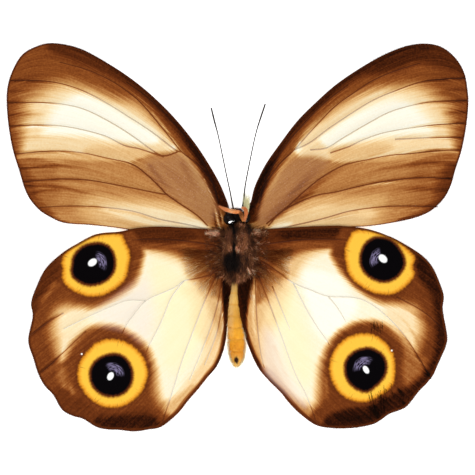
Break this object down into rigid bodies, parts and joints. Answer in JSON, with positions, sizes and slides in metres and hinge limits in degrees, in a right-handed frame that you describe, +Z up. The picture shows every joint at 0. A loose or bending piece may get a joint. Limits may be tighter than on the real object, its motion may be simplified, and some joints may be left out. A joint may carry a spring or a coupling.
{
  "type": "spread butterfly specimen",
  "caption": "Spread butterfly specimen lying on its back, underside up: broad brown and cream wings, eyespots on the hindwings, a furry body and thin antennae.",
  "frame": {"origin": "on the resting surface, under the middle of the specimen's box", "axes": "+X across the wings to the right as seen from above, +Y along the body towards the head, +Z up, out of the underside"},
  "size_m": [0.0922, 0.0775, 0.0066],
  "materials": {
    "forewing_scales": "brown scales with a cream band, matt with a faint sheen",
    "hindwing_scales": "cream scales with brown margins and yellow-ringed black eyespots, matt",
    "body_fur": "dark brown fur",
    "leg_fur": "brown fur with a pinkish tinge",
    "abdomen_fur": "yellow-orange scales and short fur",
    "palp_fur": "orange fur",
    "eye_gloss": "glossy black",
    "antenna_shell": "dark brown, satin"
  },
  "bodies": {
    "root": {"head": "body_fur", "eye_left": "eye_gloss", "eye_right": "eye_gloss", "palp_left": "palp_fur", "palp_right": "palp_fur", "antenna_left": "antenna_shell", "antenna_right": "antenna_shell", "thorax": "body_fur", "legs_left": "leg_fur", "legs_right": "leg_fur", "abdomen": "abdomen_fur", "forewing_left": "forewing_scales", "forewing_right": "forewing_scales", "hindwing_left": "hindwing_scales", "hindwing_right": "hindwing_scales"}
  },
  "joints": []
}
